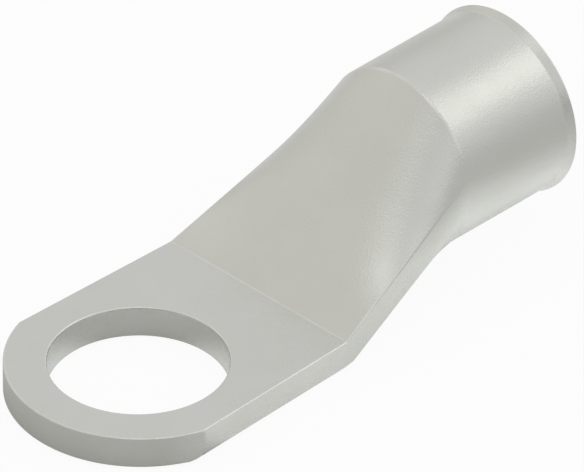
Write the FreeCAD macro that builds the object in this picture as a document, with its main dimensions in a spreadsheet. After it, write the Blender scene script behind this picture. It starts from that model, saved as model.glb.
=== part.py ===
import FreeCAD, Part
import math
import os
import Sketcher

# Ring terminal made from one length of tube: a flat palm with a stud hole, a squeezed middle and a round barrel.
# The stud hole's centre on the palm's underside is the origin, +X runs to the barrel's mouth and +Z is up.

vec = FreeCAD.Vector
doc = FreeCAD.newDocument("ring_terminal")

# Driving sizes in millimetres, each with a word as its alias.
sizeTable = [
    ("studHoleDiameter", 10.5, "clear hole for the stud"),
    ("palmThickness", 1.96, "two walls pressed together"),
    ("palmWidthAtHole", 15.0, "palm across the stud hole"),
    ("palmWidthAtBend", 14.38, "palm where it starts to rise"),
    ("tipExtraRadius", 0.43, "tip radius over half the palm's width"),
    ("tipCentreOffset", 0.24, "tip's centre past the hole's centre"),
    ("bendFromHole", 9.7, "hole centre to the bend line"),
    ("junctionFromHole", 21.2, "hole centre to the start of the round barrel"),
    ("mouthFromHole", 29.8, "hole centre to the barrel's mouth"),
    ("barrelDiameter", 11.38, "outside of the round barrel"),
    ("wallThickness", 1.0, "wall of the tube"),
    ("sideBandHeight", 2.3, "height of the side walls where they run into the barrel"),
    ("flareRise", 0.2, "how far the mouth's lip stands out"),
    ("flareLength", 0.42, "length of the lip along the barrel"),
    ("lipRadius", 0.06, "rounding of the lip's outer edge"),
    ("boreFlareDepth", 0.8, "depth of the rounded way into the bore"),
    ("boreFlareRise", 0.35, "how much the way in opens on each side"),
    ("lowerEdgeRadius", 0.5, "rounding along the palm's lower long edges"),
    ("cavityTipHeight", 0.4, "gap left where the two walls close"),
    ("edgeBreak", 0.08, "bevel along the palm's upper edges"),
]

sheet = doc.addObject("Spreadsheet::Sheet", "sizes")
size = {}
for row, (alias, value, note) in enumerate(sizeTable, start=1):
    sheet.set("A%d" % row, alias)
    sheet.set("B%d" % row, str(value))
    sheet.set("C%d" % row, note)
    sheet.setAlias("B%d" % row, alias)
    size[alias] = value
doc.recompute()

body = doc.addObject("PartDesign::Body", "ring_terminal")
body.Label = "ring_terminal"


def originPlane(role):
    return next(feature for feature in body.Origin.OriginFeatures if feature.Role == role)


# A sketch on one of the body's planes, moved along that plane's normal by a formula.
def newSketch(name, role, offset=None):
    sketch = body.newObject("Sketcher::SketchObject", name)
    sketch.AttachmentSupport = [(originPlane(role), "")]
    sketch.MapMode = "FlatFace"
    if offset:
        sketch.setExpression("AttachmentOffset.Base.z", offset)
    return sketch


def rule(sketch, kind, *where):
    sketch.addConstraint(Sketcher.Constraint(kind, *where))


# A sized constraint, with a name and a formula on the sheet.
def sized(sketch, name, formula, kind, *where):
    index = sketch.addConstraint(Sketcher.Constraint(kind, *where))
    sketch.renameConstraint(index, name)
    sketch.setExpression("Constraints." + name, formula)


def line(sketch, start, end):
    return sketch.addGeometry(Part.LineSegment(vec(*start, 0), vec(*end, 0)), False)


def arc(sketch, centre, radius, fromAngle, toAngle):
    circle = Part.Circle(vec(*centre, 0), vec(0, 0, 1), radius)
    return sketch.addGeometry(Part.ArcOfCircle(circle, fromAngle, toAngle), False)


# The sketcher's own numbers for the points of an element, and for the sketch's axes and origin.
START, END, CENTRE = range(1, 4)
X_AXIS, Y_AXIS = range(-1, -3, -1)
ORIGIN = (X_AXIS, START)

halfAtHole = size["palmWidthAtHole"] / 2
halfAtBend = size["palmWidthAtBend"] / 2
bendX = size["bendFromHole"]
junctionX = size["junctionFromHole"]
mouthX = size["mouthFromHole"]
thickness = size["palmThickness"]
holeRadius = size["studHoleDiameter"] / 2
outerRadius = size["barrelDiameter"] / 2
boreRadius = outerRadius - size["wallThickness"]

# How far the palm's long sides lean in towards the bend, and the same as an angle on the sheet.
taper = (halfAtBend - halfAtHole) / bendX
taperAngle = "atan((sizes.palmWidthAtHole - sizes.palmWidthAtBend) / 2 / sizes.bendFromHole)"


# Palm: a plate with straight sides that draw in towards the bend, and a round tip.
def palmOutline():
    sketch = newSketch("palmOutline", "XY_Plane")
    radius = halfAtHole + size["tipExtraRadius"]
    centre = size["tipCentreOffset"]
    a = 1 + taper ** 2
    b = 2 * (taper * halfAtHole - centre)
    c = centre ** 2 + halfAtHole ** 2 - radius ** 2
    kinkX = (-b - math.sqrt(b * b - 4 * a * c)) / (2 * a)
    kinkY = halfAtHole + taper * kinkX
    kinkAngle = math.atan2(kinkY, kinkX - centre)
    tip = arc(sketch, (centre, 0), radius, kinkAngle, 2 * math.pi - kinkAngle)
    nearSide = line(sketch, (kinkX, -kinkY), (bendX, -halfAtBend))
    bend = line(sketch, (bendX, -halfAtBend), (bendX, halfAtBend))
    farSide = line(sketch, (bendX, halfAtBend), (kinkX, kinkY))
    nearMark = sketch.addGeometry(Part.Point(vec(0, -halfAtHole, 0)), True)
    farMark = sketch.addGeometry(Part.Point(vec(0, halfAtHole, 0)), True)
    rule(sketch, "Coincident", tip, END, nearSide, START)
    rule(sketch, "Coincident", nearSide, END, bend, START)
    rule(sketch, "Coincident", bend, END, farSide, START)
    rule(sketch, "Coincident", farSide, END, tip, START)
    rule(sketch, "PointOnObject", tip, CENTRE, X_AXIS)
    rule(sketch, "Symmetric", bend, START, bend, END, X_AXIS)
    rule(sketch, "PointOnObject", nearMark, START, Y_AXIS)
    rule(sketch, "PointOnObject", farMark, START, Y_AXIS)
    rule(sketch, "PointOnObject", nearMark, START, nearSide)
    rule(sketch, "PointOnObject", farMark, START, farSide)
    sized(sketch, "tipCentre", "sizes.tipCentreOffset", "DistanceX", *ORIGIN, tip, CENTRE, centre)
    sized(sketch, "tipRadius", "sizes.palmWidthAtHole / 2 + sizes.tipExtraRadius", "Radius", tip, radius)
    sized(sketch, "toBend", "sizes.bendFromHole", "DistanceX", *ORIGIN, bend, START, bendX)
    sized(sketch, "widthAtBend", "sizes.palmWidthAtBend", "DistanceY", bend, START, bend, END, 2 * halfAtBend)
    sized(sketch, "nearHalf", "sizes.palmWidthAtHole / 2", "DistanceY", nearMark, START, *ORIGIN, halfAtHole)
    sized(sketch, "farHalf", "sizes.palmWidthAtHole / 2", "DistanceY", *ORIGIN, farMark, START, halfAtHole)
    return sketch


# Rectangle across the part, centred on its middle plane, from a low to a high level.
def slotSection(name, offset, halfWidth, low, high, widthFormula, lowFormula, highFormula):
    sketch = newSketch(name, "YZ_Plane", offset)
    corners = [(-halfWidth, low), (halfWidth, low), (halfWidth, high), (-halfWidth, high)]
    sides = [line(sketch, corners[i], corners[(i + 1) % 4]) for i in range(4)]
    for i in range(4):
        rule(sketch, "Coincident", sides[i], END, sides[(i + 1) % 4], START)
    rule(sketch, "Symmetric", sides[0], START, sides[0], END, Y_AXIS)
    rule(sketch, "Symmetric", sides[2], START, sides[2], END, Y_AXIS)
    rule(sketch, "Vertical", sides[1])
    sized(sketch, "width", widthFormula, "DistanceX", sides[0], START, sides[0], END, 2 * halfWidth)
    if lowFormula is None:
        rule(sketch, "PointOnObject", sides[0], START, X_AXIS)
    else:
        sized(sketch, "low", lowFormula, "DistanceY", *ORIGIN, sides[0], START, low)
    sized(sketch, "high", highFormula, "DistanceY", *ORIGIN, sides[2], START, high)
    return sketch


# Full circle in four arcs, so that each side of a slot section runs into an arc of its own.
def roundSection(name, offset, radius, bandHalf, radiusFormula, bandFormula):
    sketch = newSketch(name, "YZ_Plane", offset)
    turn = math.asin(bandHalf / radius)
    stops = [math.pi + turn, 2 * math.pi - turn, 2 * math.pi + turn, 3 * math.pi - turn, 3 * math.pi + turn]
    arcs = [arc(sketch, (0, outerRadius), radius, stops[i], stops[i + 1]) for i in range(4)]
    lower, right, upper, left = arcs
    for i in range(4):
        rule(sketch, "Coincident", arcs[i], END, arcs[(i + 1) % 4], START)
    rule(sketch, "Coincident", lower, CENTRE, right, CENTRE)
    rule(sketch, "Coincident", lower, CENTRE, upper, CENTRE)
    rule(sketch, "PointOnObject", left, CENTRE, Y_AXIS)
    rule(sketch, "PointOnObject", lower, CENTRE, Y_AXIS)
    rule(sketch, "Horizontal", lower, START, lower, END)
    rule(sketch, "Horizontal", upper, START, upper, END)
    rule(sketch, "Vertical", right, START, right, END)
    sized(sketch, "axisHeight", "sizes.barrelDiameter / 2", "DistanceY", *ORIGIN, lower, CENTRE, outerRadius)
    sized(sketch, "radius", radiusFormula, "Radius", lower, radius)
    sized(sketch, "band", bandFormula, "DistanceY", right, START, right, END, 2 * bandHalf)
    return sketch


# Half section of the barrel's wall, with the lip that turns out at its mouth and the rounded way in.
def barrelProfile():
    sketch = newSketch("barrelProfile", "XZ_Plane")
    rise = size["flareRise"]
    lip = size["lipRadius"]
    depth = size["boreFlareDepth"]
    opening = size["boreFlareRise"]
    top = 2 * outerRadius
    boreTop = outerRadius + boreRadius
    flareX = mouthX - size["flareLength"]
    turn = 2 * math.atan2(rise, mouthX - lip - flareX)
    sweep = (mouthX - lip - flareX) / math.sin(turn) - lip
    lipCentre = (mouthX - lip, top + rise - lip)
    wayIn = 2 * math.atan2(opening, depth)
    wayInRadius = depth / math.sin(wayIn)
    down = -math.pi / 2
    axis = sketch.addGeometry(Part.LineSegment(vec(junctionX, outerRadius, 0), vec(mouthX, outerRadius, 0)), True)
    outside = line(sketch, (junctionX, top), (flareX, top))
    flare = arc(sketch, (flareX, top + sweep), sweep, down, down + turn)
    lipEdge = arc(sketch, lipCentre, lip, 0, math.pi / 2 + turn)
    endFace = line(sketch, (mouthX, lipCentre[1]), (mouthX, boreTop + opening))
    inner = arc(sketch, (mouthX - depth, boreTop + wayInRadius), wayInRadius, down, down + wayIn)
    bore = line(sketch, (mouthX - depth, boreTop), (junctionX, boreTop))
    root = line(sketch, (junctionX, boreTop), (junctionX, top))
    rule(sketch, "Tangent", outside, END, flare, START)
    rule(sketch, "Tangent", flare, END, lipEdge, END)
    rule(sketch, "Tangent", lipEdge, START, endFace, START)
    rule(sketch, "Tangent", inner, START, bore, START)
    rule(sketch, "Coincident", endFace, END, inner, END)
    rule(sketch, "Coincident", bore, END, root, START)
    rule(sketch, "Coincident", root, END, outside, START)
    for level in (axis, outside, bore):
        rule(sketch, "Horizontal", level)
    for upright in (endFace, root):
        rule(sketch, "Vertical", upright)
    rule(sketch, "Vertical", axis, START, root, START)
    rule(sketch, "Vertical", axis, END, endFace, START)
    sized(sketch, "start", "sizes.junctionFromHole", "DistanceX", *ORIGIN, axis, START, junctionX)
    sized(sketch, "mouth", "sizes.mouthFromHole", "DistanceX", *ORIGIN, axis, END, mouthX)
    sized(sketch, "axisHeight", "sizes.barrelDiameter / 2", "DistanceY", *ORIGIN, axis, START, outerRadius)
    sized(sketch, "outer", "sizes.barrelDiameter / 2", "DistanceY", axis, START, outside, START, outerRadius)
    sized(sketch, "boreRadius", "sizes.barrelDiameter / 2 - sizes.wallThickness", "DistanceY",
          axis, START, root, START, boreRadius)
    sized(sketch, "flareLength", "sizes.flareLength", "DistanceX", outside, END, endFace, START,
          mouthX - flareX)
    sized(sketch, "lip", "sizes.lipRadius", "Radius", lipEdge, lip)
    sized(sketch, "lipHeight", "sizes.barrelDiameter / 2 + sizes.flareRise - sizes.lipRadius", "DistanceY",
          axis, START, lipEdge, CENTRE, lipCentre[1] - outerRadius)
    sized(sketch, "wayInDepth", "sizes.boreFlareDepth", "DistanceX", bore, START, endFace, START, depth)
    sized(sketch, "wayInRise", "sizes.boreFlareRise", "DistanceY", bore, START, endFace, END, opening)
    return sketch


# What is taken off below the palm's far long edge, as a section square to that edge through the hole's middle.
def edgeToolSection():
    sketch = newSketch("edgeToolSection", "YZ_Plane")
    sketch.setExpression("AttachmentOffset.Rotation.Axis.x", "0")
    sketch.setExpression("AttachmentOffset.Rotation.Axis.y", "1")
    sketch.setExpression("AttachmentOffset.Rotation.Axis.z", "0")
    sketch.setExpression("AttachmentOffset.Rotation.Angle", "-1 * " + taperAngle)
    r = size["lowerEdgeRadius"]
    half = halfAtHole * math.cos(math.atan(taper))
    roundEdge = arc(sketch, (half - r, r), r, -math.pi / 2, 0)
    ledge = line(sketch, (half, r), (half + r, r))
    outside = line(sketch, (half + r, r), (half + r, -r))
    below = line(sketch, (half + r, -r), (half - r, -r))
    inside = line(sketch, (half - r, -r), (half - r, 0))
    chain = [roundEdge, ledge, outside, below, inside]
    for i in range(5):
        rule(sketch, "Coincident", chain[i], END, chain[(i + 1) % 5], START)
    for level in (ledge, below):
        rule(sketch, "Horizontal", level)
    for upright in (outside, inside):
        rule(sketch, "Vertical", upright)
    rule(sketch, "Vertical", roundEdge, CENTRE, roundEdge, START)
    rule(sketch, "Horizontal", roundEdge, CENTRE, roundEdge, END)
    rule(sketch, "PointOnObject", roundEdge, START, X_AXIS)
    sized(sketch, "radius", "sizes.lowerEdgeRadius", "Radius", roundEdge, r)
    sized(sketch, "half", "sizes.palmWidthAtHole / 2 * cos(%s)" % taperAngle, "DistanceX",
          *ORIGIN, roundEdge, END, half)
    sized(sketch, "ledge", "sizes.lowerEdgeRadius", "DistanceX", ledge, START, ledge, END, r)
    sized(sketch, "depth", "sizes.lowerEdgeRadius", "DistanceY", inside, START, inside, END, r)
    return sketch


def addFeature(kind, name, **settings):
    feature = body.newObject("PartDesign::" + kind, name)
    for key, value in settings.items():
        setattr(feature, key, value)
    doc.recompute()
    return feature


palm = addFeature("Pad", "palm", Profile=palmOutline())
palm.setExpression("Length", "sizes.palmThickness")
doc.recompute()

# Squeezed middle: straight lines run from the flat section at the bend to the round one at the junction.
bandHalf = size["sideBandHeight"] / 2
bendSection = slotSection("bendSection", "sizes.bendFromHole", halfAtBend, 0, thickness,
                          "sizes.palmWidthAtBend", None, "sizes.palmThickness")
junctionSection = roundSection("junctionSection", "sizes.junctionFromHole", outerRadius, bandHalf,
                               "sizes.barrelDiameter / 2", "sizes.sideBandHeight")
addFeature("AdditiveLoft", "middle", Profile=bendSection, Sections=[junctionSection], Ruled=True)

# The tube's inside narrows with the walls and ends blind where they close on each other.
wall = size["wallThickness"]
tipGap = size["cavityTipHeight"]
cavityOffset = ("sizes.bendFromHole + (sizes.junctionFromHole - sizes.bendFromHole)"
                " * (sizes.cavityTipHeight + 2 * sizes.wallThickness - sizes.palmThickness)"
                " / (sizes.barrelDiameter - sizes.palmThickness)")
cavityTip = slotSection("cavityTip", cavityOffset, halfAtBend - wall, wall, wall + tipGap,
                        "sizes.palmWidthAtBend - 2 * sizes.wallThickness", "sizes.wallThickness",
                        "sizes.wallThickness + sizes.cavityTipHeight")
boreRatio = "(1 - 2 * sizes.wallThickness / sizes.barrelDiameter)"
boreSection = roundSection("boreSection", "sizes.junctionFromHole", boreRadius,
                           bandHalf * boreRadius / outerRadius,
                           "sizes.barrelDiameter / 2 - sizes.wallThickness",
                           "sizes.sideBandHeight * " + boreRatio)
addFeature("SubtractiveLoft", "cavity", Profile=cavityTip, Sections=[boreSection], Ruled=True)

barrelSketch = barrelProfile()
addFeature("Revolution", "barrel", Profile=barrelSketch, ReferenceAxis=(barrelSketch, ["Axis0"]), Angle=360)

# The palm's lower long edges are rounded as far as the rising underside leaves that level.
reachFormula = ("2 * (sizes.bendFromHole + sizes.lowerEdgeRadius * (sizes.junctionFromHole - sizes.bendFromHole)"
                " / (sizes.barrelDiameter / 2 - sizes.sideBandHeight / 2))")
lowerEdge = addFeature("Pocket", "lowerEdge", Profile=edgeToolSection(), Midplane=True)
lowerEdge.setExpression("Length", reachFormula)
doc.recompute()
lowerEdges = addFeature("Mirrored", "lowerEdges", Originals=[lowerEdge], MirrorPlane=(originPlane("XZ_Plane"), [""]))
body.Tip = lowerEdges

# Stud hole, punched straight through the palm.
holeSketch = newSketch("studHoleCircle", "XY_Plane")
holeSketch.addGeometry(Part.Circle(vec(0, 0, 0), vec(0, 0, 1), holeRadius), False)
rule(holeSketch, "Coincident", 0, CENTRE, *ORIGIN)
sized(holeSketch, "diameter", "sizes.studHoleDiameter", "Diameter", 0, 2 * holeRadius)
studHole = addFeature("Pocket", "studHole", Profile=holeSketch, Type="ThroughAll", Midplane=True)
doc.recompute()


# Upper edges of the palm, which lie at its top and end short of the bend.
near = 1e-3


def atPalmTop(edge):
    box = edge.BoundBox
    return abs(box.ZMin - thickness) < near and abs(box.ZMax - thickness) < near and box.XMin < bendX - near


def isHoleRim(edge):
    return atPalmTop(edge) and isinstance(edge.Curve, Part.Circle) and abs(edge.Curve.Radius - holeRadius) < near


def isOutlineRim(edge):
    return atPalmTop(edge) and not isHoleRim(edge)


# Small bevel on the chosen edges of the feature before it.
def breakEdges(name, base, chosen):
    edges = ["Edge%d" % i for i, edge in enumerate(base.Shape.Edges, start=1) if chosen(edge)]
    print(name, len(edges), "edges")
    bevel = addFeature("Chamfer", name, Base=(base, edges))
    bevel.setExpression("Size", "sizes.edgeBreak")
    doc.recompute()
    return bevel


outlineBreak = breakEdges("outlineBreak", studHole, isOutlineRim)
body.Tip = breakEdges("holeBreak", outlineBreak, isHoleRim)
doc.recompute()

for item in doc.Objects:
    bad = [word for word in item.State if word in ("Invalid", "Error")]
    if bad:
        raise RuntimeError("%s is %s" % (item.Name, bad))
os.makedirs("parts", exist_ok=True)
shape = body.Shape
if shape.isNull() or not shape.isValid() or len(shape.Solids) != 1:
    raise RuntimeError("%s has no sound single solid" % body.Label)
box = shape.BoundBox
print("%s: %.2f x %.2f x %.2f mm, %.1f mm3, %d faces" %
      (body.Label, box.XLength, box.YLength, box.ZLength, shape.Volume, len(shape.Faces)))
shape.exportStep("parts/%s.step" % body.Label)
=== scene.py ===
import bmesh
import bpy
import math
import numpy as np
from mathutils import Matrix, Vector


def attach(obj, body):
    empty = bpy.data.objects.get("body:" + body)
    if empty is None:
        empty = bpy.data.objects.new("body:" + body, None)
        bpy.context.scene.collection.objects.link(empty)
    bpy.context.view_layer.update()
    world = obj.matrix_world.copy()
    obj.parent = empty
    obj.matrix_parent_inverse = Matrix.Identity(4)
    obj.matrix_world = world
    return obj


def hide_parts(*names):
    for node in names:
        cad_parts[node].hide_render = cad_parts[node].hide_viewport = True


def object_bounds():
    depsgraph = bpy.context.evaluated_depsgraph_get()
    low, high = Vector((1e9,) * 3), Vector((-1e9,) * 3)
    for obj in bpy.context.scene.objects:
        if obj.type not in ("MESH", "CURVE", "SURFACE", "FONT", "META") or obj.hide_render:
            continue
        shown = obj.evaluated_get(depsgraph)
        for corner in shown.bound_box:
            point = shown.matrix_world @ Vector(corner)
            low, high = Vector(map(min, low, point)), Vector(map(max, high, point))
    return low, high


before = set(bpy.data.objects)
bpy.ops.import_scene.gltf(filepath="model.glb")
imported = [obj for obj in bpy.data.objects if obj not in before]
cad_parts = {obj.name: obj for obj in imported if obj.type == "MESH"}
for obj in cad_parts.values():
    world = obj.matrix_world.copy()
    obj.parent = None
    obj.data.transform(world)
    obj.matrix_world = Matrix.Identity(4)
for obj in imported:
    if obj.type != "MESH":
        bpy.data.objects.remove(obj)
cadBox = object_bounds()
mm = 0.001

# Sizes of the terminal in millimetres.
# The stud hole's centre on the underside is the origin, and +X runs to the barrel's mouth.
lug = {
    "holeRadius": 5.25,
    "palmThickness": 1.96,
    "halfAtHole": 7.5,       # half the palm's width
    "halfAtBend": 7.19,
    "tipRadius": 7.93,
    "tipCentreX": 0.24,
    "bendX": 9.7,
    "junctionX": 21.2,       # where the squeezed middle has become the round barrel
    "mouthX": 29.8,
    "barrelRadius": 5.69,
    "boreRadius": 4.69,
    "bandHalf": 1.15,        # half height of the side walls where they run into the barrel
    "cavityX": 10.24,        # where the hollow closes
    "cavityHalf": 6.19,
    "cavityFloor": 1.0,
    "cavityHeight": 0.4,
    "upperRound": 0.1,       # along the upper edges
    "lowerRound": 0.5,       # along the palm's lower long edges
    "tipLowerRound": 0.05,   # the tip is cut last, so it stays nearly sharp below
    "runOut": 0.65,          # the lower rounding fades over this length past the bend
    "bendSoftness": 0.06,
    "junctionSoftness": 0.14,
    "flareStartX": 29.2,
    "flareRise": 0.2,
    "lipRadius": 0.06,
    "mouthOpening": 0.35,
    "mouthDepth": 0.8,
    "support": 0.04,         # how near the flat faces hold their edges
    "flareSupport": 0.05,
    "longSupport": 0.1,      # the same on the long side walls and in the bore
    "weld": 0.001,           # points nearer than this become one
    "tinyEdge": 0.00001,     # an edge shorter than this is taken out
}
lug["taper"] = (lug["halfAtBend"] - lug["halfAtHole"]) / lug["bendX"]

# How many parts or points each stretch of the mesh has.
steps = {
    "upperEdge": 4,
    "lowerEdge": 6,
    "wall": 9,
    "across": 61,
    "palmSide": 26,
    "tipCorner": 8,
    "halfTip": 55,
    "runOut": 7,
    "middle": 34,
    "barrel": 9,
    "lip": 7,
    "wayIn": 10,
    "bore": 8,
    "cavity": 26,
}
meshLook = {
    "cornerTurn": 0.0005,                       # step of the search for the tip corner's end, in radians
    "flareShares": (0, 0.1, 0.4, 0.7, 0.93),    # points along the flare
    "cavityShares": (0.04, 0.004),              # last points of the hollow before it closes
}


def meshObject(name, points, faces=()):
    mesh = bpy.data.meshes.new(name)
    mesh.from_pydata([tuple(p) for p in points], [], [tuple(f) for f in faces])
    mesh.update()
    obj = bpy.data.objects.new(name, mesh)
    bpy.context.scene.collection.objects.link(obj)
    return obj


def pointValues(obj, name, values):
    layer = obj.data.attributes.new(name, "FLOAT", "POINT")
    layer.data.foreach_set("value", np.asarray(values, dtype=np.float32))


# Points strictly between start and end on the round that fills a corner.
def cornerRound(start, corner, end, parts):
    start, corner, end = (np.asarray(p, dtype=float) for p in (start, corner, end))
    into, out = corner - start, end - corner
    cosTurn = np.dot(into, out) / (np.linalg.norm(into) * np.linalg.norm(out))
    weight = math.sqrt((1 + min(1.0, max(-1.0, cosTurn))) / 2)
    points = []
    for i in range(1, parts):
        t = i / parts
        a, b, c = (1 - t) ** 2, 2 * t * (1 - t) * weight, t ** 2
        points.append((a * start + b * corner + c * end) / (a + b + c))
    return points


# Values from low to high, evenly spaced apart from the first and last steps, which are as long as hold.
def heldRun(low, high, count, hold):
    step = math.copysign(hold, high - low)
    return [low, *np.linspace(low + step, high - step, count - 2), high]


# The flat section at the bend as one closed ring of (y, z), in four stretches from the near end of the top.
def bendRing(lowerRound):
    half, top, upper, hold = lug["halfAtBend"], lug["palmThickness"], lug["upperRound"], lug["support"]
    acrossTop = [(y, top) for y in heldRun(-half + upper, half - upper, steps["across"], hold)]
    farWall = [*cornerRound((half - upper, top), (half, top), (half, top - upper), steps["upperEdge"]),
               *[(half, z) for z in heldRun(top - upper, lowerRound, steps["wall"], hold)],
               *cornerRound((half, lowerRound), (half, 0), (half - lowerRound, 0), steps["lowerEdge"])]
    acrossUnder = [(y, 0) for y in heldRun(half - lowerRound, -half + lowerRound, steps["across"], hold)]
    nearWall = [(-y, z) for y, z in reversed(farWall)]
    return acrossTop, farWall, acrossUnder, nearWall


# Where each point of the ring lands on the round barrel, as a turn from the top towards +Y.
def ringTurns(lowerRound):
    acrossTop, farWall, acrossUnder, _ = bendRing(lowerRound)
    half, top = lug["halfAtBend"], lug["palmThickness"]
    corner = math.acos(lug["bandHalf"] / lug["barrelRadius"])

    def onWall(z):
        return corner + (top - z) / top * (math.pi - 2 * corner)

    topTurns = [corner * y / half for y, z in acrossTop]
    underTurns = [math.pi - corner * y / half for y, z in acrossUnder]
    wallStart = steps["upperEdge"] - 1
    wallTurns = [onWall(z) for y, z in farWall[wallStart:wallStart + steps["wall"]]]
    farTurns = [*np.linspace(topTurns[-1], wallTurns[0], steps["upperEdge"] + 1)[1:-1], *wallTurns,
                *np.linspace(wallTurns[-1], underTurns[0], steps["lowerEdge"] + 1)[1:-1]]
    nearTurns = [2 * math.pi - turn for turn in reversed(farTurns)]
    return [*topTurns, *farTurns, *underTurns, *nearTurns]


# The palm's outline seen from above, from the near end of the bend round the tip to the far end.
# Each point has the direction in which its edges are set inwards and its depth inside the long side's line.
def palmOutline():
    half, taper, centre, radius = lug["halfAtHole"], lug["taper"], lug["tipCentreX"], lug["tipRadius"]
    # the leaning long side meets the tip's circle at kinkX
    a = 1 + taper ** 2
    b = 2 * (taper * half - centre)
    c = centre ** 2 + half ** 2 - radius ** 2
    kinkX = (-b - math.sqrt(b * b - 4 * a * c)) / (2 * a)
    columns = [{"x": x, "y": -(half + taper * x), "inward": (0.0, 1.0), "depth": 0.0}
               for x in heldRun(lug["bendX"], kinkX, steps["palmSide"], lug["longSupport"])]

    def tipPoint(angle):
        x, y = centre + radius * math.cos(angle), radius * math.sin(angle)
        inward = (-math.cos(angle), -math.sin(angle))
        return {"x": x, "y": y, "inward": inward, "depth": (half + taper * x) + y}

    # the long side's rounding runs on across the tip until the tip's curve leaves it behind
    start = math.atan2(-(half + taper * kinkX), kinkX - centre)
    stop = start
    while tipPoint(stop)["depth"] < lug["lowerRound"]:
        stop -= meshLook["cornerTurn"]
    bisector = np.array([-math.cos(start), -math.sin(start)]) + np.array([0.0, 1.0])
    columns[-1]["inward"] = tuple(bisector / bisector[1])
    columns += [tipPoint(angle) for angle in (*np.linspace(start, stop, steps["tipCorner"])[1:-1],
                                              *np.linspace(stop, -math.pi, steps["halfTip"]))]
    mirrored = [{**column, "y": -column["y"], "inward": (column["inward"][0], -column["inward"][1])}
                for column in columns[-2::-1]]
    return columns + mirrored


# The first points of a column, up the stud hole's wall and over its upper edge, and the column's last point.
def holeRows(turn):
    top, upper, hold, hole = lug["palmThickness"], lug["upperRound"], lug["support"], lug["holeRadius"]

    def around(extra, z):
        return np.array([(hole + extra) * math.cos(turn), (hole + extra) * math.sin(turn), z])

    rows = [around(0, z) for z in (0, hold, top / 2, top - upper - hold, top - upper)]
    rows += cornerRound(around(0, top - upper), around(0, top), around(upper, top), steps["upperEdge"])
    rows += [around(upper, top), around(upper + hold, top)]
    return rows, around(hold, 0)


# The palm's lower long edge, from the wall to the underside, and the point that holds it on the underside.
def lowerEdge(column, outer):
    hold, depth, radius = lug["support"], column["depth"], lug["lowerRound"]
    if 0 < depth < radius - lug["tipLowerRound"]:
        # the tip has cut away the upper part of the rounding here
        first = math.acos(1 - depth / radius)
        parts = steps["lowerEdge"]
        turns = [first + (math.pi / 2 - first) * i / parts for i in range(parts + 1)]
        side = math.copysign(1.0, -column["y"])
        curve = [np.array([column["x"], column["y"] + side * (radius * (1 - math.cos(turn)) - depth),
                           radius * (1 - math.sin(turn))]) for turn in turns]
        return curve, curve[-1] + np.array([0.0, side * hold, 0.0])
    radius = radius if depth == 0 else lug["tipLowerRound"]
    rounding = cornerRound(outer(0, radius), outer(0, 0), outer(radius, 0), steps["lowerEdge"])
    return [outer(0, radius), *rounding, outer(radius, 0)], outer(radius + hold, 0)


# One closed column: up in the hole, out across the top, down the outer wall and back underneath.
def palmColumn(column):
    x, y, top, hold = column["x"], column["y"], lug["palmThickness"], lug["support"]
    inX, inY = column["inward"]
    upper = lug["upperRound"]
    atBend = x > lug["bendX"] - lug["tinyEdge"]
    softening = np.array([lug["bendSoftness"] if atBend else 0, 0, 0])

    def outer(inset, z):
        return np.array([x + inX * inset, y + inY * inset, z])

    rows, last = holeRows(math.atan2(y, x))
    held = outer(upper + hold, top)
    rows += [(rows[-1] + held) / 2, held - softening, outer(upper, top)]
    rows += cornerRound(outer(upper, top), outer(0, top), outer(0, top - upper), steps["upperEdge"])
    curve, beside = lowerEdge(column, outer)
    beside = beside - softening
    rows += [outer(0, z) for z in heldRun(top - upper, curve[0][2], steps["wall"], hold)]
    return [*rows, *curve[1:], beside, (beside + last) / 2, last]


# The plate with straight leaning sides, a round tip and the stud hole, open where the middle joins it.
def buildPalm():
    columns = [palmColumn(column) for column in palmOutline()]
    rowCount = len(columns[0])
    acrossTop, _, acrossUnder, _ = bendRing(lug["lowerRound"])
    softening = np.array([lug["bendSoftness"], 0, 0])
    for (y, z), (lowY, lowZ) in list(zip(acrossTop, reversed(acrossUnder)))[-2:0:-1]:
        rows, last = holeRows(math.atan2(y, lug["bendX"]))
        edge, low = np.array([lug["bendX"], y, z]), np.array([lug["bendX"], lowY, lowZ])
        soft, lowSoft = edge - softening, low - softening
        above = [*rows, (rows[-1] + soft) / 2, soft, edge]
        underneath = [low, lowSoft, (lowSoft + last) / 2, last]
        opening = [None] * (rowCount - len(above) - len(underneath))
        columns.append([*above, *opening, *underneath])
    points, index = [], []
    for rows in columns:
        index.append([])
        for point in rows:
            index[-1].append(None if point is None else len(points))
            if point is not None:
                points.append(point * mm)
    faces = []
    for first, second in zip(index, index[1:] + index[:1]):
        for i in range(rowCount):
            j = (i + 1) % rowCount
            corners = (first[i], first[j], second[j], second[i])
            if None not in corners:
                faces.append(corners)
    return meshObject("palmPlate", points, faces)


# Points along the squeezed middle as shares of its length.
def middleStations():
    length = lug["junctionX"] - lug["bendX"]
    faded = lug["runOut"] / length
    first = lug["bendSoftness"] / length
    last = 1 - lug["junctionSoftness"] / length
    along = [0, first, *np.linspace(first, faded, steps["runOut"])[1:],
             *np.linspace(faded, last, steps["middle"])[1:], 1]
    return [(share, 0, 0) for share in along]


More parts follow.
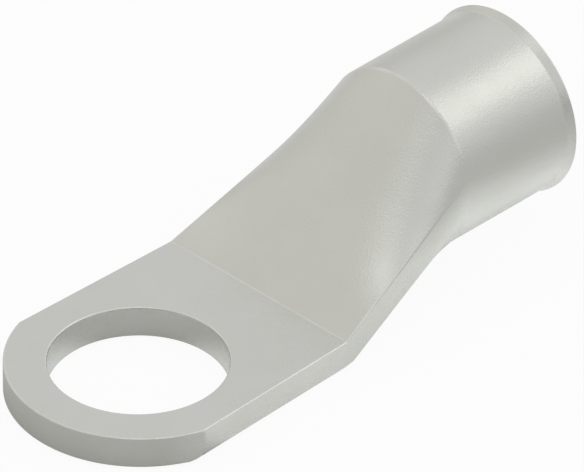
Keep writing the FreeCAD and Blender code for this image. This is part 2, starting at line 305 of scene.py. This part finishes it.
# Outline of the barrel's wall as (x, radius), from the junction out over the lip and back down the bore.
def barrelProfile():
    radius, bore, mouth, lip = lug["barrelRadius"], lug["boreRadius"], lug["mouthX"], lug["lipRadius"]
    junction, start, hold = lug["junctionX"], lug["flareStartX"], lug["support"]
    straight = junction + lug["junctionSoftness"]
    points = [(junction, radius), (straight, radius)]
    points += [(x, radius) for x in np.linspace(straight, start - lug["flareSupport"], steps["barrel"])[1:]]
    # the flare is a straight cone that touches the lip's round
    run, rise = mouth - lip - start, lug["flareRise"] - lip
    turn = math.atan2(rise, run) + math.asin(lip / math.hypot(run, rise))
    lipX, lipRadius = mouth - lip, radius + lug["flareRise"] - lip
    rim = np.array([lipX - lip * math.sin(turn), lipRadius + lip * math.cos(turn)])
    foot = np.array([start, radius])
    points += [tuple(share * rim + (1 - share) * foot) for share in meshLook["flareShares"]]
    points += [(lipX + lip * math.cos(a), lipRadius + lip * math.sin(a))
               for a in np.linspace(math.pi / 2 + turn, 0, steps["lip"])]
    # the mouth's flat end, then the rounded way into the bore
    opened, depth = bore + lug["mouthOpening"], lug["mouthDepth"]
    wayIn = 2 * math.atan2(lug["mouthOpening"], depth)
    wayRadius = depth / math.sin(wayIn)
    points += [(mouth, lipRadius - hold), (mouth, (lipRadius + opened) / 2), (mouth, opened + hold)]
    points += [(mouth - depth + wayRadius * math.sin(a), bore + wayRadius * (1 - math.cos(a)))
               for a in np.linspace(wayIn, 0, steps["wayIn"])]
    points += [(x, bore) for x in np.linspace(mouth - depth - lug["longSupport"], junction, steps["bore"])]
    return [(x * mm, 0, r * mm) for x, r in points]


# Points along the hollow as shares of its length from its closed end, and a last one marked 1 that closes it.
def cavityStations():
    nearEnd, atEnd = meshLook["cavityShares"]
    along = [*np.linspace(1, nearEnd, steps["cavity"]), atEnd, 0]
    return [(share, 0, 0) for share in along] + [(0, 1, 0)]


def addNode(tree, kind, **settings):
    node = tree.nodes.new(kind)
    for key, value in settings.items():
        setattr(node, key, value)
    return node


def feed(tree, socket, value):
    if isinstance(value, bpy.types.NodeSocket):
        tree.links.new(value, socket)
    else:
        socket.default_value = value


def calc(tree, operation, *values, clamp=False):
    node = addNode(tree, "ShaderNodeMath", operation=operation, use_clamp=clamp)
    for socket, value in zip(node.inputs, values):
        feed(tree, socket, value)
    return node.outputs[0]


# Value at factor between low and high.
def between(tree, factor, low, high):
    node = addNode(tree, "ShaderNodeMix", data_type="FLOAT", clamp_factor=False)
    feed(tree, node.inputs[0], factor)
    feed(tree, node.inputs[2], low)
    feed(tree, node.inputs[3], high)
    return node.outputs[0]


# A soft step from start to end while value goes from low to high.
def smoothStep(tree, value, low, high, start=0.0, end=1.0):
    node = addNode(tree, "ShaderNodeMapRange", interpolation_type="SMOOTHSTEP")
    feed(tree, node.inputs["Value"], value)
    for label, amount in (("From Min", low), ("From Max", high), ("To Min", start), ("To Max", end)):
        node.inputs[label].default_value = amount
    return node.outputs["Result"]


def vectorOf(tree, x, y, z):
    node = addNode(tree, "ShaderNodeCombineXYZ")
    for socket, value in zip(node.inputs, (x, y, z)):
        feed(tree, socket, value)
    return node.outputs[0]


def mixColour(tree, factor, first, second):
    node = addNode(tree, "ShaderNodeMix", data_type="RGBA")
    feed(tree, node.inputs[0], factor)
    feed(tree, node.inputs[6], first)
    feed(tree, node.inputs[7], second)
    return node.outputs[2]


def noise(tree, where, scale, detail):
    node = addNode(tree, "ShaderNodeTexNoise")
    feed(tree, node.inputs["Vector"], where)
    node.inputs["Scale"].default_value = scale
    node.inputs["Detail"].default_value = detail
    return node.outputs["Fac"]


# The first shader's output goes to the second as the factor goes from 0 to 1.
def mixShaders(tree, factor, first, second):
    mix = addNode(tree, "ShaderNodeMixShader")
    feed(tree, mix.inputs[0], factor)
    tree.links.new(first.outputs[0], mix.inputs[1])
    tree.links.new(second.outputs[0], mix.inputs[2])
    return mix.outputs[0]


# Inputs of the node group that rules the squeezed middle, the barrel and the hollow from the bend's ring.
tubeInputs = [
    ("Palm", "NodeSocketObject", None),
    ("Middle Stations", "NodeSocketObject", None),
    ("Barrel Profile", "NodeSocketObject", None),
    ("Cavity Stations", "NodeSocketObject", None),
    ("Bend X", "NodeSocketFloat", lug["bendX"] * mm),
    ("Junction X", "NodeSocketFloat", lug["junctionX"] * mm),
    ("Axis Height", "NodeSocketFloat", lug["barrelRadius"] * mm),
    ("Barrel Radius", "NodeSocketFloat", lug["barrelRadius"] * mm),
    ("Bore Radius", "NodeSocketFloat", lug["boreRadius"] * mm),
    ("Run Out", "NodeSocketFloat", lug["runOut"] * mm),
    ("Cavity X", "NodeSocketFloat", lug["cavityX"] * mm),
    ("Cavity Floor", "NodeSocketFloat", lug["cavityFloor"] * mm),
    ("Cavity Height", "NodeSocketFloat", lug["cavityHeight"] * mm),
    ("Cavity Width Share", "NodeSocketFloat", lug["cavityHalf"] / lug["halfAtBend"]),
    ("Cavity Half Width", "NodeSocketFloat", lug["cavityHalf"] * mm),
    ("Cavity Seam Half", "NodeSocketFloat", (lug["cavityHalf"] - lug["upperRound"]) * mm),
    ("Plate Thickness", "NodeSocketFloat", lug["palmThickness"] * mm),
    ("Weld Distance", "NodeSocketFloat", lug["weld"] * mm),
    ("Material", "NodeSocketMaterial", None),
]


def newGeometryTree(name, inputs):
    tree = bpy.data.node_groups.new(name, "GeometryNodeTree")
    tree.interface.new_socket("Geometry", in_out="INPUT", socket_type="NodeSocketGeometry")
    for label, kind, value in inputs:
        socket = tree.interface.new_socket(label, in_out="INPUT", socket_type=kind)
        if value is not None:
            socket.default_value = value
    tree.interface.new_socket("Geometry", in_out="OUTPUT", socket_type="NodeSocketGeometry")
    return tree


def setInputs(modifier, tree, values):
    identifiers = {item.name: item.identifier for item in tree.interface.items_tree if item.in_out == "INPUT"}
    for label, value in values.items():
        modifier[identifiers[label]] = value


def tubeTree():
    tree = newGeometryTree("squeezedTube", tubeInputs)
    source = addNode(tree, "NodeGroupInput").outputs
    ring = source["Geometry"]

    def countOf(geometry):
        node = addNode(tree, "GeometryNodeAttributeDomainSize", component="MESH")
        feed(tree, node.inputs[0], geometry)
        return node.outputs["Point Count"]

    def shapeOf(label):
        node = addNode(tree, "GeometryNodeObjectInfo", transform_space="ORIGINAL")
        feed(tree, node.inputs["Object"], source[label])
        return node.outputs["Geometry"]

    def sampled(geometry, value, kind, index):
        node = addNode(tree, "GeometryNodeSampleIndex", data_type=kind, domain="POINT")
        feed(tree, node.inputs["Geometry"], geometry)
        feed(tree, node.inputs["Value"], value)
        feed(tree, node.inputs["Index"], index)
        return node.outputs[0]

    def stored(name):
        node = addNode(tree, "GeometryNodeInputNamedAttribute", data_type="FLOAT")
        node.inputs["Name"].default_value = name
        return node.outputs["Attribute"]

    def parts(vector):
        node = addNode(tree, "ShaderNodeSeparateXYZ")
        feed(tree, node.inputs[0], vector)
        return node.outputs

    # a skin is a grid: a row for each station, and a column for each point of the ring, the first one twice
    position = addNode(tree, "GeometryNodeInputPosition").outputs[0]
    index = addNode(tree, "GeometryNodeInputIndex").outputs[0]
    ringCount = countOf(ring)
    columnCount = calc(tree, "ADD", ringCount, 1)
    row = calc(tree, "FLOOR", calc(tree, "DIVIDE", index, columnCount))
    column = calc(tree, "SUBTRACT", index, calc(tree, "MULTIPLY", row, columnCount))
    onRing = calc(tree, "MODULO", column, ringCount)
    flat = parts(sampled(ring, position, "FLOAT_VECTOR", onRing))
    sharpY = sampled(ring, stored("sharpY"), "FLOAT", onRing)
    sharpZ = sampled(ring, stored("sharpZ"), "FLOAT", onRing)
    softTurn = sampled(ring, stored("softTurn"), "FLOAT", onRing)
    sharpTurn = sampled(ring, stored("sharpTurn"), "FLOAT", onRing)

    def skin(stations, place):
        grid = addNode(tree, "GeometryNodeMeshGrid")
        feed(tree, grid.inputs["Vertices X"], countOf(stations))
        feed(tree, grid.inputs["Vertices Y"], columnCount)
        station = parts(sampled(stations, position, "FLOAT_VECTOR", row))
        move = addNode(tree, "GeometryNodeSetPosition")
        feed(tree, move.inputs["Geometry"], grid.outputs["Mesh"])
        feed(tree, move.inputs["Position"], place(station))
        return move.outputs[0]

    def roundYZ(turn, radius):
        y = calc(tree, "MULTIPLY", calc(tree, "SINE", turn), radius)
        above = calc(tree, "MULTIPLY", calc(tree, "COSINE", turn), radius)
        return y, calc(tree, "ADD", above, source["Axis Height"])

    # outside of the middle: straight lines from the flat ring to the round one
    def placeMiddle(station):
        along = station[0]
        length = calc(tree, "SUBTRACT", source["Junction X"], source["Bend X"])
        faded = calc(tree, "DIVIDE", calc(tree, "MULTIPLY", along, length), source["Run Out"], clamp=True)
        turn = between(tree, faded, softTurn, sharpTurn)
        y, z = roundYZ(turn, source["Barrel Radius"])
        return vectorOf(tree, between(tree, along, source["Bend X"], source["Junction X"]),
                        between(tree, along, between(tree, faded, flat[1], sharpY), y),
                        between(tree, along, between(tree, faded, flat[2], sharpZ), z))

    # barrel, lip, mouth and bore: the profile turned about the barrel's axis
    def placeBarrel(station):
        y, z = roundYZ(sharpTurn, station[2])
        return vectorOf(tree, station[0], y, z)

    # the hollow narrows with the walls, and its last row closes it
    def placeCavity(station):
        along, closing = station[0], station[1]
        y, z = roundYZ(sharpTurn, source["Bore Radius"])
        flatY = calc(tree, "MULTIPLY", sharpY, source["Cavity Width Share"])
        reach = between(tree, closing, source["Cavity Half Width"], source["Cavity Seam Half"])
        flatY = calc(tree, "MINIMUM", flatY, reach)
        flatY = calc(tree, "MAXIMUM", flatY, calc(tree, "MULTIPLY", reach, -1))
        share = calc(tree, "DIVIDE", sharpZ, source["Plate Thickness"])
        share = between(tree, closing, share, 0.5)
        above = calc(tree, "MULTIPLY", share, source["Cavity Height"])
        flatZ = calc(tree, "ADD", source["Cavity Floor"], above)
        return vectorOf(tree, between(tree, along, source["Cavity X"], source["Junction X"]),
                        between(tree, along, flatY, y), between(tree, along, flatZ, z))

    join = addNode(tree, "GeometryNodeJoinGeometry")
    for part in (skin(shapeOf("Middle Stations"), placeMiddle), skin(shapeOf("Barrel Profile"), placeBarrel),
                 skin(shapeOf("Cavity Stations"), placeCavity), shapeOf("Palm")):
        tree.links.new(part, join.inputs[0])
    weld = addNode(tree, "GeometryNodeMergeByDistance")
    feed(tree, weld.inputs["Geometry"], join.outputs[0])
    feed(tree, weld.inputs["Distance"], source["Weld Distance"])
    smooth = addNode(tree, "GeometryNodeSetShadeSmooth")
    feed(tree, smooth.inputs["Geometry"], weld.outputs[0])
    real = addNode(tree, "GeometryNodeRealizeInstances")
    feed(tree, real.inputs[0], smooth.outputs[0])
    finish = addNode(tree, "GeometryNodeSetMaterial")
    feed(tree, finish.inputs["Geometry"], real.outputs[0])
    feed(tree, finish.inputs["Material"], source["Material"])
    out = addNode(tree, "NodeGroupOutput")
    tree.links.new(finish.outputs[0], out.inputs[0])
    return tree


# The ring at the bend, which also carries its points with sharp lower edges and both sets of turns.
def buildRing():
    softRing = [point for side in bendRing(lug["lowerRound"]) for point in side]
    sharpRing = [point for side in bendRing(lug["upperRound"]) for point in side]
    ring = meshObject("bendRing", [(lug["bendX"] * mm, y * mm, z * mm) for y, z in softRing])
    pointValues(ring, "sharpY", [y * mm for y, z in sharpRing])
    pointValues(ring, "sharpZ", [z * mm for y, z in sharpRing])
    pointValues(ring, "softTurn", ringTurns(lug["lowerRound"]))
    pointValues(ring, "sharpTurn", ringTurns(lug["upperRound"]))
    return ring


# The node group's result as one plain mesh. The objects that it is made from are taken away again.
def tubeMesh(material):
    ring = buildRing()
    helpers = {"Palm": buildPalm(), "Middle Stations": meshObject("middleStations", middleStations()),
               "Barrel Profile": meshObject("barrelProfile", barrelProfile()),
               "Cavity Stations": meshObject("cavityStations", cavityStations())}
    tree = tubeTree()
    modifier = ring.modifiers.new("squeezedTube", "NODES")
    modifier.node_group = tree
    setInputs(modifier, tree, {**helpers, "Material": material})
    bpy.context.view_layer.update()
    evaluated = ring.evaluated_get(bpy.context.evaluated_depsgraph_get())
    mesh = bpy.data.meshes.new_from_object(evaluated)
    mesh.name = "ringTerminal"
    ring.modifiers.remove(modifier)
    for helper in [ring, *helpers.values()]:
        bpy.data.objects.remove(helper, do_unlink=True)
    return mesh


plating = {
    "colour": (0.714, 0.722, 0.684, 1),
    "dullColour": (0.672, 0.678, 0.634, 1),    # where the tin lies thinner
    "wornAndHighlightColour": (0.8, 0.802, 0.772, 1),    # edges rubbed bright, and the painted highlight along them
    "cloudScale": 260.0,
    "cloudDetail": 4.0,
    "cloudLimits": (0.35, 0.65),
    "cloudShare": 0.3,
    "roughness": 0.3,
    "roughnessSpread": 0.05,
    "edgeRoughness": 0.2,
    "edgeBreakup": 900.0,                      # scale of the gaps in the edge wear and its painted highlight
    "breakupDetail": 3.0,
    "breakupLimits": (0.3, 0.6),
    "breakupLeast": 0.45,                      # share of the wear and painted highlight that is left in a gap
    "wearAndHighlightTurn": 22.0,                          # the wear and painted highlight grow by 1 for each such turn of an edge, in degrees
    "slightTurnShare": 0.2,                        # and are less by this everywhere, so a slight turn is neither worn nor highlighted
    "uprightShare": 0.9,                       # an edge that rises by this share of its length is neither worn nor highlighted
    "hollowStart": 0.2 * mm,                   # the hollow's edges are left out from here on past the bend
    "grain": (9000.0, 0.016 * mm),             # scale and depth of the matte grain, about 0.1 mm apart
    "ripple": (1100.0, 0.011 * mm),            # and of the shallow ripples of the blank under the tin
    "bumpDetail": 2.0,
}


def tinPlating():
    material = bpy.data.materials.new("tinPlating")
    material.use_nodes = True
    tree = material.node_tree
    shader = tree.nodes["Principled BSDF"]
    shader.inputs["Metallic"].default_value = 1.0
    where = addNode(tree, "ShaderNodeTexCoord").outputs["Object"]
    cloud = smoothStep(tree, noise(tree, where, plating["cloudScale"], plating["cloudDetail"]),
                       *plating["cloudLimits"])
    # edges get a lighter, smoother finish: partly rubbed wear, partly a painted highlight along them
    wearAndHighlight = addNode(tree, "ShaderNodeAttribute", attribute_name="edgeWearAndHighlight").outputs["Fac"]
    breakup = smoothStep(tree, noise(tree, where, plating["edgeBreakup"], plating["breakupDetail"]),
                         *plating["breakupLimits"], plating["breakupLeast"])
    rubbedAndHighlit = calc(tree, "MULTIPLY", wearAndHighlight, breakup, clamp=True)
    thin = calc(tree, "MULTIPLY", cloud, plating["cloudShare"])
    colour = mixColour(tree, thin, plating["colour"], plating["dullColour"])
    feed(tree, shader.inputs["Base Color"], mixColour(tree, rubbedAndHighlit, colour, plating["wornAndHighlightColour"]))
    spread = calc(tree, "MULTIPLY", calc(tree, "SUBTRACT", cloud, 0.5), plating["roughnessSpread"])
    rough = calc(tree, "ADD", spread, plating["roughness"])
    feed(tree, shader.inputs["Roughness"], between(tree, rubbedAndHighlit, rough, plating["edgeRoughness"]))
    heights = [calc(tree, "MULTIPLY", noise(tree, where, scale, plating["bumpDetail"]), depth)
               for scale, depth in (plating["grain"], plating["ripple"])]
    bump = addNode(tree, "ShaderNodeBump")
    bump.inputs["Strength"].default_value = 1.0
    bump.inputs["Distance"].default_value = 1.0
    feed(tree, bump.inputs["Height"], calc(tree, "ADD", *heights))
    feed(tree, shader.inputs["Normal"], bump.outputs["Normal"])
    return material


# Writes how far each point is rubbed bright and painted with an edge highlight: edges outside are, but not
# upright ones or those of the hollow.
def markWearAndHighlight(shape):
    wearAndHighlightLayer = shape.verts.layers.float.new("edgeWearAndHighlight")
    shape.normal_update()
    bend, middle = lug["bendX"] * mm, lug["palmThickness"] / 2 * mm
    length, rise = lug["junctionX"] * mm - bend, lug["barrelRadius"] * mm - middle
    for vert in shape.verts:
        x, y, z = vert.co
        share = min(1.0, max(0.0, (x - bend) / length))
        outward = Vector((0, y, z - middle - share * rise))
        if x > bend + plating["hollowStart"] and vert.normal.dot(outward) < 0:
            continue
        leaning = [edge for edge in vert.link_edges if abs(edge.verts[0].co.z - edge.verts[1].co.z)
                   < plating["uprightShare"] * edge.calc_length()]
        turn = max((edge.calc_face_angle(0.0) for edge in leaning), default=0.0)
        # the sharper an edge turns, the more it is worn and the brighter its painted highlight
        wearAndHighlight = turn / math.radians(plating["wearAndHighlightTurn"]) - plating["slightTurnShare"]
        vert[wearAndHighlightLayer] = min(1.0, max(0.0, wearAndHighlight))


def buildTerminal(material):
    mesh = tubeMesh(material)
    shape = bmesh.new()
    shape.from_mesh(mesh)
    bmesh.ops.dissolve_degenerate(shape, dist=lug["tinyEdge"] * mm, edges=shape.edges)
    bmesh.ops.recalc_face_normals(shape, faces=shape.faces)
    openEdges = [edge for edge in shape.edges if len(edge.link_faces) != 2]
    print("terminal mesh:", len(shape.verts), "points,", len(shape.faces), "faces,", len(openEdges),
          "open edges, volume %.1f mm3" % (shape.calc_volume(signed=True) / mm ** 3))
    markWearAndHighlight(shape)
    shape.to_mesh(mesh)
    shape.free()
    mesh.materials.clear()
    mesh.materials.append(material)
    piece = bpy.data.objects.new("ringTerminal", mesh)
    bpy.context.scene.collection.objects.link(piece)
    return piece


photo = {
    "azimuth": -44.969,
    "elevation": 34.937,
    "scale": 17.398,       # pixels for each millimetre
    "originX": 139.11,     # where the stud hole's centre on the underside falls in the picture
    "originY": 387.67,
    "width": 584,
    "height": 472,
    "lens": 1200.0,
    "sensor": 36.0,
    "depth": -4.8,         # middle of the object along the line of sight, in millimetres
    "nearClip": 0.5,       # shares of the camera's distance
    "farClip": 4.0,
}


def addCamera():
    azimuth, elevation = math.radians(photo["azimuth"]), math.radians(photo["elevation"])
    back = Vector((math.sin(azimuth) * math.cos(elevation), -math.cos(azimuth) * math.cos(elevation),
                   math.sin(elevation)))
    right = Vector((math.cos(azimuth), math.sin(azimuth), 0))
    up = back.cross(right)
    data = bpy.data.cameras.new("camera")
    data.lens = photo["lens"]
    data.sensor_width = photo["sensor"]
    data.sensor_fit = "HORIZONTAL"
    distance = photo["width"] / photo["scale"] * mm * data.lens / data.sensor_width
    data.clip_start = distance * photo["nearClip"]
    data.clip_end = distance * photo["farClip"]
    aside = (photo["width"] / 2 - photo["originX"]) / photo["scale"]
    above = (photo["originY"] - photo["height"] / 2) / photo["scale"]
    aim = (right * aside + up * above + back * photo["depth"]) * mm
    camera = bpy.data.objects.new("camera", data)
    bpy.context.scene.collection.objects.link(camera)
    turned = Matrix((right, up, back)).transposed().to_4x4()
    camera.matrix_world = Matrix.Translation(aim + back * distance) @ turned
    bpy.context.scene.camera = camera


# Flat headings as the photo's view has them.
diagonal = math.sqrt(0.5)
headings = {
    "behind": (diagonal, diagonal, 0),
    "right": (diagonal, -diagonal, 0),
    "left": (-diagonal, diagonal, 0),
}

sky = {
    "low": {"all": 0.03, "behind": 0.5, "right": 0.56, "left": 0.38},       # level at the horizon
    "high": {"all": 0.65, "behind": 0.107, "right": 0.18, "left": 0.08},    # level higher up
    "highFrom": 0.5,         # height at which the sky reaches its higher level
    "overhead": 0.035,       # added towards straight up
    "warmColour": (1.0, 0.98, 0.945, 1),
    "warmth": 1.6,           # how soon the sky turns warm towards the left
}


# How far a point or direction lies along a heading.
def alongHeading(tree, vector, heading):
    node = addNode(tree, "ShaderNodeVectorMath", operation="DOT_PRODUCT")
    feed(tree, node.inputs[0], vector)
    node.inputs[1].default_value = heading
    return node.outputs["Value"]


def addSky():
    world = bpy.data.worlds.new("studio")
    bpy.context.scene.world = world
    world.use_nodes = True
    tree = world.node_tree
    tree.nodes.clear()
    direction = addNode(tree, "ShaderNodeTexCoord").outputs["Generated"]
    rise = alongHeading(tree, direction, (0, 0, 1))

    def skyLevel(levels):
        level = levels["all"]
        for side, heading in headings.items():
            part = calc(tree, "MAXIMUM", alongHeading(tree, direction, heading), 0.0)
            level = calc(tree, "ADD", calc(tree, "MULTIPLY", part, levels[side]), level)
        return level

    dome = smoothStep(tree, rise, 0.0, sky["highFrom"])
    overhead = calc(tree, "MULTIPLY", calc(tree, "MAXIMUM", rise, 0.0), sky["overhead"])
    level = calc(tree, "ADD", between(tree, dome, skyLevel(sky["low"]), skyLevel(sky["high"])), overhead)
    glow = addNode(tree, "ShaderNodeBackground")
    feed(tree, glow.inputs["Strength"], level)
    warm = calc(tree, "MULTIPLY", alongHeading(tree, direction, headings["left"]), sky["warmth"], clamp=True)
    feed(tree, glow.inputs["Color"], mixColour(tree, warm, (1, 1, 1, 1), sky["warmColour"]))
    white = addNode(tree, "ShaderNodeBackground")
    white.inputs["Color"].default_value = (1, 1, 1, 1)
    ray = addNode(tree, "ShaderNodeLightPath")
    out = addNode(tree, "ShaderNodeOutputWorld")
    tree.links.new(mixShaders(tree, ray.outputs["Is Camera Ray"], glow, white), out.inputs[0])


# The pale floor. Each pair of numbers is where a part of its shine or loss starts and ends, in metres.
floorLook = {
    "half": 0.5,
    "colour": 0.8,
    "glow": 0.94,                        # share of plain white that the camera sees
    "shineColour": (0.975, 0.99, 1.0, 1),
    "beside": 0.22,                      # what polished metal sees of the floor beside the near edge
    "besideAlong": (-0.0015, 0.0005),
    "besideOut": (0.004, 0.0055),
    "behind": 0.124,                     # towards the back
    "behindAlong": (-0.012, 0.02),
    "under": 0.3,                        # under the barrel, growing from the near side to the middle
    "underAlong": (0.018, 0.024),
    "underIn": (-0.011, -0.001),
    "underEnd": (0.001, 0.009),          # and fading again beyond it
    "hole": 0.36,                        # and at both ends of the floor seen in the stud hole
    "holeAside": (0.0015, 0.0045),
    "farLoss": 0.05,                     # how much darker it sees the floor far off to the right
    "farAlong": (0.0205, 0.038),
    "frontLoss": 0.08,                   # in front of the tip
    "frontAlong": (-0.005, -0.0025),
    "holeLoss": 0.09,                    # and in the stud hole
}


# Shine and loss of the floor as the metal's reflections see it.
def floorTones(tree, where):
    def grow(heading, ends, level=1.0):
        return smoothStep(tree, alongHeading(tree, where, heading), *ends, 0.0, level)

    def rest(value):
        return calc(tree, "SUBTRACT", 1.0, value)

    toMouth, toFarSide, toNearSide = (1, 0, 0), (0, 1, 0), (0, -1, 0)
    look = floorLook
    far = grow(headings["right"], look["farAlong"])
    beside = calc(tree, "MULTIPLY", grow(toMouth, look["besideAlong"], look["beside"]),
                  grow(toNearSide, look["besideOut"]))
    under = calc(tree, "MULTIPLY", grow(toMouth, look["underAlong"], look["under"]),
                 grow(toFarSide, look["underIn"]))
    under = calc(tree, "MULTIPLY", under, rest(grow(toFarSide, look["underEnd"])))
    shine = calc(tree, "ADD", calc(tree, "ADD", beside, under),
                 grow(headings["behind"], look["behindAlong"], look["behind"]))
    span = addNode(tree, "ShaderNodeVectorMath", operation="LENGTH")
    feed(tree, span.inputs[0], where)
    inHole = calc(tree, "LESS_THAN", span.outputs["Value"], lug["holeRadius"] * mm)
    aside = calc(tree, "ABSOLUTE", alongHeading(tree, where, headings["right"]))
    holeEnds = smoothStep(tree, aside, *look["holeAside"], 0.0, look["hole"])
    shine = calc(tree, "ADD", shine, calc(tree, "MULTIPLY", inHole, holeEnds))
    shine = calc(tree, "MULTIPLY", shine, rest(far))
    front = rest(grow(toMouth, look["frontAlong"]))
    loss = calc(tree, "ADD", calc(tree, "MULTIPLY", far, look["farLoss"]),
                calc(tree, "MULTIPLY", front, look["frontLoss"]))
    return shine, calc(tree, "ADD", loss, calc(tree, "MULTIPLY", inHole, look["holeLoss"]))


def addFloor():
    low, half = cadBox[0][2], floorLook["half"]
    corners = [(-half, -half, low), (half, -half, low), (half, half, low), (-half, half, low)]
    floor = meshObject("floor", corners, [(0, 1, 2, 3)])
    material = bpy.data.materials.new("paleFloor")
    material.use_nodes = True
    tree = material.node_tree
    tree.nodes.clear()
    where = addNode(tree, "ShaderNodeTexCoord").outputs["Object"]
    ray = addNode(tree, "ShaderNodeLightPath")
    shineLevel, loss = floorTones(tree, where)
    loss = calc(tree, "MULTIPLY", loss, ray.outputs["Is Glossy Ray"])
    pale = calc(tree, "SUBTRACT", floorLook["colour"], loss)
    matte = addNode(tree, "ShaderNodeBsdfDiffuse")
    feed(tree, matte.inputs["Color"], vectorOf(tree, pale, pale, pale))
    shine = addNode(tree, "ShaderNodeEmission")
    shine.inputs["Color"].default_value = floorLook["shineColour"]
    feed(tree, shine.inputs["Strength"], calc(tree, "MULTIPLY", shineLevel, ray.outputs["Is Glossy Ray"]))
    lit = addNode(tree, "ShaderNodeAddShader")
    tree.links.new(matte.outputs[0], lit.inputs[0])
    tree.links.new(shine.outputs[0], lit.inputs[1])
    white = addNode(tree, "ShaderNodeEmission")
    white.inputs["Color"].default_value = (1, 1, 1, 1)
    shown = calc(tree, "MULTIPLY", ray.outputs["Is Camera Ray"], floorLook["glow"])
    out = addNode(tree, "ShaderNodeOutputMaterial")
    tree.links.new(mixShaders(tree, shown, lit, white), out.inputs[0])
    floor.data.materials.append(material)


lamps = {
    "keyLamp": {"towards": (0.579, -0.372, 0.732), "distance": 0.35, "size": 0.22, "power": 0.045},
    # overhead, for the near half of the squeezed middle
    "topLamp": {"towards": (-0.14, -0.16, 0.95), "distance": 0.35, "size": 0.18, "power": 0.024},
}
lampColour = (1.0, 0.985, 0.92)
lampAim = Vector((0.011, 0, 0.004))


def addLamp(name, lamp):
    data = bpy.data.lights.new(name, "AREA")
    data.color = lampColour
    data.shape = "DISK"
    data.size = lamp["size"]
    data.energy = lamp["power"]
    towards = Vector(lamp["towards"])
    obj = bpy.data.objects.new(name, data)
    obj.location = towards.normalized() * lamp["distance"] + lampAim
    obj.rotation_mode = "QUATERNION"
    obj.rotation_quaternion = towards.to_track_quat("Z", "Y")
    obj.visible_camera = False
    bpy.context.scene.collection.objects.link(obj)


bpy.context.scene.view_settings.view_transform = "Standard"
addCamera()
addSky()
addFloor()
for name, lamp in lamps.items():
    addLamp(name, lamp)
print("camera, floor and lamps are in place")
terminal = buildTerminal(tinPlating())
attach(terminal, "root")
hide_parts("ring_terminal")
print("terminal is built")
